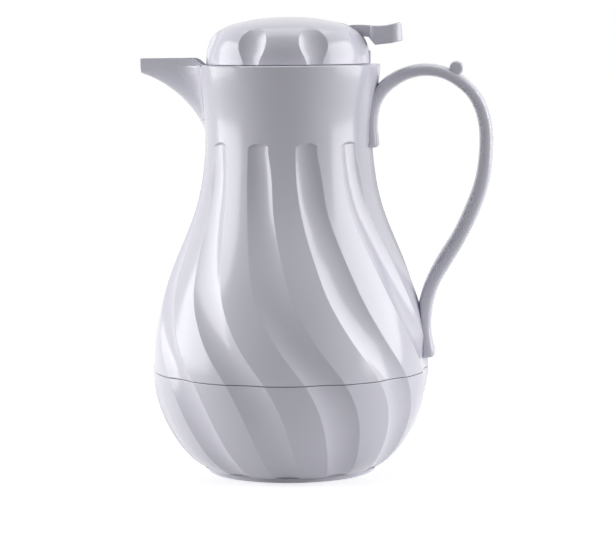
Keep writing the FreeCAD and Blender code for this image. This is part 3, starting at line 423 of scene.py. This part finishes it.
@dataclass
class Viewpoint:
    """The camera: a long lens a little above the rim, slightly towards the handle's side."""

    azimuth: float = 3.5
    distance: float = 1.421
    height: float = 0.2604
    sideways: float = 0.01044
    pitch: float = 5.78
    roll: float = 0.5
    lens: float = 143.9

    def build(self) -> None:
        """Make the camera and set it as the scene's."""
        camera = bpy.data.cameras.new("camera")
        camera.lens = self.lens
        camera.sensor_width = 36.0
        camera.clip_start, camera.clip_end = 0.05, 50.0
        holder = bpy.data.objects.new("camera", camera)
        bpy.context.collection.objects.link(holder)
        turn = Matrix.Rotation(math.radians(self.azimuth), 4, "Z")
        place = Matrix.Translation((self.sideways, -self.distance, self.height))
        tilt = Matrix.Rotation(math.radians(90.0 - self.pitch), 4, "X")
        lean = Matrix.Rotation(math.radians(-self.roll), 4, "Z")
        holder.matrix_world = turn @ place @ tilt @ lean
        bpy.context.scene.camera = holder


# ---------------------------------------------------------------- modelling helpers

def make_object(name: str, mesh: bmesh.types.BMesh) -> bpy.types.Object:
    """Turn a finished bmesh into an object at the origin, smooth but for its sharp edges.

    Args:
        name: the piece's name.
        mesh: the bmesh, which is used up.

    Returns:
        The new object.
    """
    bmesh.ops.recalc_face_normals(mesh, faces=mesh.faces)
    data = bpy.data.meshes.new(name)
    mesh.to_mesh(data)
    mesh.free()
    data.shade_smooth()
    data.set_sharp_from_angle(angle=math.radians(SHARP_ANGLE))
    piece = bpy.data.objects.new(name, data)
    bpy.context.collection.objects.link(piece)
    return piece


def add_piece(piece: bpy.types.Object, body: str, material: bpy.types.Material) -> None:
    """Give a new piece its finish and the body it moves with.

    Args:
        piece: the new object.
        body: the body's name.
        material: its material.
    """
    piece.data.materials.append(material)
    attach(piece, body)
    LOG.info("%s made, rides on %s", piece.name, body)


def between(values: Sequence[float], step: float) -> float:
    """Read a smooth curve through four values at a step from the second (0) to the third (1).

    Args:
        values: the four values.
        step: where to read it.

    Returns:
        The curve's value.
    """
    before, start, end, after = values
    return 0.5 * (2 * start + (end - before) * step + (2 * before - 5 * start + 4 * end - after) * step ** 2
                  + (3 * start - before - 3 * end + after) * step ** 3)


def read(table: Sequence[tuple[float, float]], at: float) -> float:
    """Read a smooth curve given as rising places with their values.

    Args:
        table: pairs of a place and its value.
        at: the place to read it at.

    Returns:
        The curve's value there.
    """
    index = max(0, min(len(table) - 2, sum(place <= at for place, _ in table) - 1))
    start, end = table[index], table[index + 1]
    step = min(max((at - start[0]) / (end[0] - start[0]), 0.0), 1.0)
    values = [table[min(max(index + shift, 0), len(table) - 1)][1] for shift in (-1, 0, 1, 2)]
    return between(values, step)


def refine(rows: Sequence[Sequence[float]], steps: int) -> list[list[float]]:
    """Put more rows between rows of numbers, on smooth curves through them.

    Args:
        rows: the rows to run through.
        steps: how many parts each gap is divided into.

    Returns:
        The longer list of rows.
    """
    finer = []
    for index in range(len(rows) - 1):
        near = [rows[min(max(index + shift, 0), len(rows) - 1)] for shift in (-1, 0, 1, 2)]
        for part in range(steps):
            finer.append([between(column, part / steps) for column in zip(*near)])
    return finer + [list(rows[-1])]


def sweep(mesh: bmesh.types.BMesh, rings: Sequence[Sequence[Vector]]) -> None:
    """Draw a closed ring along a row of places, with both ends closed.

    Args:
        mesh: the bmesh to add it to.
        rings: the ring's points at each place, the same number in each.
    """
    ring = bmesh.ops.create_circle(mesh, cap_ends=True, segments=len(rings[0]), radius=1.0)["verts"]
    for vert, place in zip(ring, rings[0]):
        vert.co = place
    for places in rings[1:]:
        edges = [mesh.edges.get(pair) for pair in zip(ring, ring[1:] + ring[:1])]
        grown = bmesh.ops.extrude_edge_only(mesh, edges=edges)["geom"]
        new = {item for item in grown if isinstance(item, bmesh.types.BMVert)}
        ring = [next(edge.other_vert(vert) for edge in vert.link_edges if edge.other_vert(vert) in new)
                for vert in ring]
        for vert, place in zip(ring, places):
            vert.co = place
    bmesh.ops.holes_fill(mesh, edges=[mesh.edges.get(pair) for pair in zip(ring, ring[1:] + ring[:1])])


# ---------------------------------------------------------------- the handle

@dataclass
class Handle:
    """The handle as one smooth strap that runs from its end on the neck over to the belly.

    A station is the finger side's place, the outer side's place and the width, in millimetres.
    """

    stations: tuple[tuple[float, ...], ...] = (
        (51.2, 187.4, 45.0, 187.4, 22.6), (52.3, 188.3, 44.6, 188.3, 24.4),
        (52.2, 191.0, 44.4, 191.3, 25.0), (51.6, 196.5, 44.4, 197.5, 25.0),
        (51.6, 201.5, 44.6, 204.0, 25.0), (52.1, 206.2, 45.4, 211.5, 24.8),
        (53.6, 211.7, 48.6, 219.2, 24.4), (56.6, 216.8, 53.4, 225.2, 24.0),
        (60.8, 220.9, 58.4, 229.0, 23.5), (68.3, 225.5, 66.6, 232.9, 23.0),
        (77.5, 227.7, 77.5, 235.0, 23.0), (87.4, 226.6, 88.6, 233.7, 23.0),
        (96.4, 221.8, 100.6, 228.0, 23.0), (104.2, 213.8, 111.2, 217.2, 23.0),
        (108.7, 202.0, 116.6, 203.4, 23.0), (109.6, 188.0, 117.8, 188.0, 23.0),
        (107.4, 170.0, 115.8, 168.0, 23.0), (102.0, 154.4, 110.0, 150.2, 23.0),
        (94.5, 138.4, 102.1, 133.9, 23.0), (86.7, 126.0, 94.1, 120.5, 23.5),
        (80.5, 114.8, 87.7, 109.8, 24.0), (76.6, 105.0, 84.6, 102.0, 24.5),
        (74.6, 96.0, 82.9, 94.0, 25.0), (75.0, 84.0, 82.1, 84.0, 25.0),
        (75.6, 75.0, 83.1, 75.6, 25.0), (75.8, 69.0, 84.4, 70.0, 25.0),
        (75.8, 66.6, 83.9, 67.2, 24.4), (75.9, 66.1, 82.6, 66.4, 22.6),
    )
    squareness: float = 3.4
    ring_points: int = 32
    steps: int = 4
    roll_place: tuple[float, float] = (96.7, 232.3)
    roll_radius: float = 4.0
    roll_width: float = 21.8
    roll_edge: float = 1.5

    def build(self, paint: Paintbox) -> None:
        """Make the strap and the thumb roll in place of the plain handle.

        Args:
            paint: the material maker.
        """
        mesh = bmesh.new()
        sweep(mesh, [self._ring(row) for row in refine(self.stations, self.steps)])
        strap = make_object("handle_strap", mesh)
        add_piece(strap, "pot", paint.get(GLOSS_SHELL))
        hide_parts("handle")
        add_piece(self._roll(), "pot", paint.get(GLOSS_SHELL))

    def _ring(self, row: Sequence[float]) -> list[Vector]:
        """Give one cross-section: a rounded oblong between the finger side and the outer side.

        Args:
            row: the station.

        Returns:
            The section's points.
        """
        inner, outer = Vector((row[0], 0.0, row[1])) * MM, Vector((row[2], 0.0, row[3])) * MM
        middle, reach, half_width = (inner + outer) / 2, (outer - inner) / 2, row[4] / 2 * MM
        places = []
        for point in range(self.ring_points):
            turn = math.tau * point / self.ring_points
            across, along = self._rounded(math.cos(turn)), self._rounded(math.sin(turn))
            places.append(middle + reach * along + Vector((0.0, half_width * across, 0.0)))
        return places

    def _rounded(self, share: float) -> float:
        """Push a share of a circle out towards an oblong."""
        return math.copysign(abs(share) ** (2 / self.squareness), share)

    def _roll(self) -> bpy.types.Object:
        """Make the roll across the strap that the thumb rests on.

        Returns:
            The roll, with rounded rims.
        """
        mesh = bmesh.new()
        radius = self.roll_radius * MM
        bmesh.ops.create_cone(mesh, cap_ends=True, segments=48, radius1=radius, radius2=radius,
                              depth=self.roll_width * MM)
        rims = [edge for edge in mesh.edges if abs(edge.verts[0].co.z - edge.verts[1].co.z) < 1e-7]
        bmesh.ops.bevel(mesh, geom=rims, offset=self.roll_edge * MM, segments=4, profile=0.5,
                        affect="EDGES", material=-1)
        place = Matrix.Translation((self.roll_place[0] * MM, 0.0, self.roll_place[1] * MM))
        bmesh.ops.transform(mesh, matrix=place @ Matrix.Rotation(math.pi / 2, 4, "X"), verts=mesh.verts)
        return make_object("thumb_roll", mesh)


# ---------------------------------------------------------------- the spout's root

@dataclass
class SpoutBlend:
    """The hollow fillets that lead the neck softly into the spout's two sides.

    The spout and the neck are given in millimetres: each spout station is the distance from the axis,
    the keel's height and half the width of the upper edge; each neck row is a height and a radius.
    """

    spout: tuple[tuple[float, ...], ...] = (
        (84.8, 230.6, 5.5), (77.0, 227.4, 7.5), (69.0, 222.6, 9.5), (61.0, 215.9, 11.5),
        (54.5, 208.4, 13.4), (50.0, 201.0, 15.0), (46.0, 189.0, 17.0))
    section: tuple[tuple[float, float], ...] = (
        (0.0, 1.0), (0.3, 0.97), (0.62, 0.8), (0.88, 0.45), (1.0, 0.0))
    neck: tuple[tuple[float, float], ...] = (
        (188.5, 48.4), (197.2, 48.6), (205.9, 49.1), (214.6, 50.5), (223.3, 51.9),
        (229.2, 52.6), (235.0, 53.3))
    top: float = 239.0
    low_row: float = 203.5
    high_row: float = 234.9
    rows: int = 26
    along_spout: float = 20.0
    along_neck: float = 15.0
    arc_points: int = 12
    buried: float = 1.2
    corner_rounds: int = 12
    least_size: float = 0.03
    shrink: float = 0.93
    width_share: float = 0.75
    longest_tangent: float = 1.4

    def build(self, paint: Paintbox) -> None:
        """Make both fillets as one piece.

        Args:
            paint: the material maker.
        """
        mesh = bmesh.new()
        for side in (1, -1):
            rings = []
            for row in range(self.rows):
                height = self.low_row + (self.high_row - self.low_row) * row / (self.rows - 1)
                rings.append([Vector((x * MM, side * y * MM, height * MM))
                              for x, y in self._ring(height)])
            sweep(mesh, rings)
        add_piece(make_object("spout_blend", mesh), "pot", paint.get(GLOSS_SHELL))

    def _ring(self, height: float) -> list[tuple[float, float]]:
        """Give one row's outline: the hollow arc outside, closed by a corner inside the walls.

        Args:
            height: the row's height.

        Returns:
            The outline's points, seen from above.
        """
        radius = read(self.neck, height)
        reach = radius
        for _ in range(self.corner_rounds):
            reach = math.sqrt(max(radius ** 2 - self._half_width(reach, height) ** 2, 0.0))
        corner = Vector((-reach, self._half_width(reach, height)))
        size = 1.0
        while (size > self.least_size
               and self._half_width(reach + self.along_spout * size, height)
               < self.width_share * corner.y):
            size *= self.shrink
        far = reach + self.along_spout * size
        on_spout = Vector((-far, self._half_width(far, height)))
        slope = (self._half_width(far - 0.2, height) - self._half_width(far + 0.2, height)) / 0.4
        turn = math.atan2(corner.y, reach) + self.along_neck * size / radius
        on_neck = Vector((-radius * math.cos(turn), radius * math.sin(turn)))
        toward_neck = Vector((1.0, slope))
        toward_spout = Vector((-math.sin(turn), -math.cos(turn)))
        share = (on_neck - on_spout).cross(toward_spout) / toward_neck.cross(toward_spout)
        meeting = on_spout + toward_neck * min(max(share, 0.0), self.longest_tangent * (far - reach))
        arc = []
        for point in range(self.arc_points):
            step = point / (self.arc_points - 1)
            arc.append(on_spout * (1 - step) ** 2 + meeting * (2 * step * (1 - step))
                       + on_neck * step ** 2)
        inside = [on_neck * (1 - self.buried / radius), corner - Vector((-1, 1)) * self.buried,
                  on_spout - Vector((0, self.buried))]
        return [(place.x, place.y) for place in arc + inside]

    def _half_width(self, reach: float, height: float) -> float:
        """Give half the spout's width at a distance from the axis and a height.

        Args:
            reach: the distance from the axis.
            height: the height.

        Returns:
            Half the width.
        """
        keel = read([(-station[0], station[1]) for station in self.spout], -reach)
        widest = read([(-station[0], station[2]) for station in self.spout], -reach)
        depth = (self.top - height) / (self.top - keel)
        return widest * read(self.section, min(depth, 1.0))


# ---------------------------------------------------------------- thread and foot

@dataclass
class ThreadLugs:
    """A ring of short helical lugs, on the stopper's ring or in the collar's bore. Millimetres."""

    name: str
    body: str
    root: float
    crest: float
    low: float
    arc_degrees: float = 26.0
    lead: float = 40.0
    starts: int = 4
    thickness: float = 1.5
    points: int = 14
    ramp: float = 5.0
    end_share: float = 0.25
    crest_share: float = 0.6

    def build(self, paint: Paintbox) -> None:
        """Make all the lugs as one piece.

        Args:
            paint: the material maker.
        """
        mesh = bmesh.new()
        for start in range(self.starts):
            first = math.tau * (start + 0.25) / self.starts
            sweep(mesh, [self._ring(first, point / (self.points - 1)) for point in range(self.points)])
        lid = self.body == "lid"
        add_piece(make_object(self.name, mesh), self.body,
                  paint.get(GLOSS_LID if lid else GLOSS_SHELL))

    def _ring(self, first: float, share: float) -> list[Vector]:
        """Give a lug's cross-section at a share of its length; it tapers at both ends.

        Args:
            first: the angle at which the lug starts.
            share: how far along the lug, from 0 to 1.

        Returns:
            The section's corners.
        """
        angle = first + math.radians(self.arc_degrees) * share
        height = self.low + self.lead * self.arc_degrees / 360 * share
        full = min(1.0, self.ramp * share, self.ramp * (1 - share))
        grown = self.end_share + (1 - self.end_share) * full
        crest = self.root + (self.crest - self.root) * grown
        half = self.thickness / 2
        flat = half * self.crest_share
        corners = ((self.root, -half), (crest, -flat), (crest, flat), (self.root, half))
        return [Vector((reach * math.cos(angle), reach * math.sin(angle), height + rise)) * MM
                for reach, rise in corners]


@dataclass
class ValveSpring:
    """The valve's coil spring, made at one length; nothing here shortens it as the valve lifts.
    Millimetres.
    """

    low: float = 203.6
    high: float = 223.4
    plate: float = 224.0
    disc: float = 203.0
    radius: float = 7.5
    wire: float = 0.6
    turns: int = 5
    turn_points: int = 40
    wire_points: int = 12
    lift: float = 4.7

    def build(self, paint: Paintbox) -> None:
        """Make the coil in place of the plain one.

        Args:
            paint: the material maker.
        """
        mesh = bmesh.new()
        count = self.turns * self.turn_points
        sweep(mesh, [self._ring(point / count) for point in range(count + 1)])
        coil = make_object("valve_coil", mesh)
        add_piece(coil, "lid", paint.get(STAINLESS))
        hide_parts("valve_spring")
        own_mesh(coil)

    def _ring(self, share: float) -> list[Vector]:
        """Give the wire's round section at a share of its way up the coil.

        Args:
            share: how far up the coil, from 0 to 1.

        Returns:
            The section's points.
        """
        angle = math.tau * self.turns * share
        height = self.low + (self.high - self.low) * share
        places = []
        for point in range(self.wire_points):
            turn = math.tau * point / self.wire_points
            reach = self.radius + self.wire * math.cos(turn)
            places.append(Vector((reach * math.cos(angle), reach * math.sin(angle),
                                  height + self.wire * math.sin(turn))) * MM)
        return places


@dataclass
class FootRings:
    """Moulded rings and the gate mark under the base cap. Millimetres."""

    cap_underside: float = 1.5
    rings: tuple[float, ...] = (34.0, 24.0)
    half_width: float = 0.9
    height: float = 0.6
    gate_radius: float = 3.0
    gate_height: float = 0.5
    sunk: float = 0.1

    def build(self, paint: Paintbox) -> None:
        """Make the rings and the gate mark as one piece.

        Args:
            paint: the material maker.
        """
        mesh = bmesh.new()
        for radius in self.rings:
            shoulder = self.half_width * 0.6
            self._turn(mesh, [(radius - self.half_width, self.sunk),
                              (radius - shoulder, -self.height * 0.8),
                              (radius, -self.height),
                              (radius + shoulder, -self.height * 0.8),
                              (radius + self.half_width, self.sunk)])
        self._turn(mesh, [(0.0, -self.gate_height), (self.gate_radius * 0.7, -self.gate_height),
                          (self.gate_radius, -self.gate_height * 0.4), (self.gate_radius, self.sunk)])
        add_piece(make_object("foot_rings", mesh), "pot", paint.get(GLOSS_SHELL))

    def _turn(self, mesh: bmesh.types.BMesh, outline: Sequence[tuple[float, float]]) -> None:
        """Turn an outline once round the axis.

        Args:
            mesh: the bmesh to add it to.
            outline: pairs of a radius and a height above the cap's underside.
        """
        verts = []
        for radius, rise in outline:
            place = (radius * MM, 0.0, (self.cap_underside + rise) * MM)
            verts.append(bmesh.ops.create_vert(mesh, co=place)["vert"][0])
        edges = [bmesh.ops.contextual_create(mesh, geom=list(pair))["edges"][0]
                 for pair in zip(verts, verts[1:])]
        bmesh.ops.spin(mesh, geom=verts + edges, axis=(0.0, 0.0, 1.0), cent=(0.0, 0.0, 0.0), angle=math.tau,
                       steps=96, use_merge=True)
        bmesh.ops.remove_doubles(mesh, verts=mesh.verts, dist=1e-6)


def main() -> None:
    """Build the looks in order."""
    logging.basicConfig(level=logging.INFO, format="%(message)s")
    bpy.context.scene.view_settings.view_transform = "Standard"
    Viewpoint().build()
    Studio().build()
    paint = Paintbox()
    dress_nodes(paint)
    Handle().build(paint)
    SpoutBlend().build(paint)
    ThreadLugs("stopper_lugs", "lid", 39.2, 40.6, 229.3).build(paint)
    ThreadLugs("collar_lugs", "pot", 41.1, 39.7, 231.9).build(paint)
    ValveSpring().build(paint)
    FootRings().build(paint)


if __name__ == "__main__":
    main()
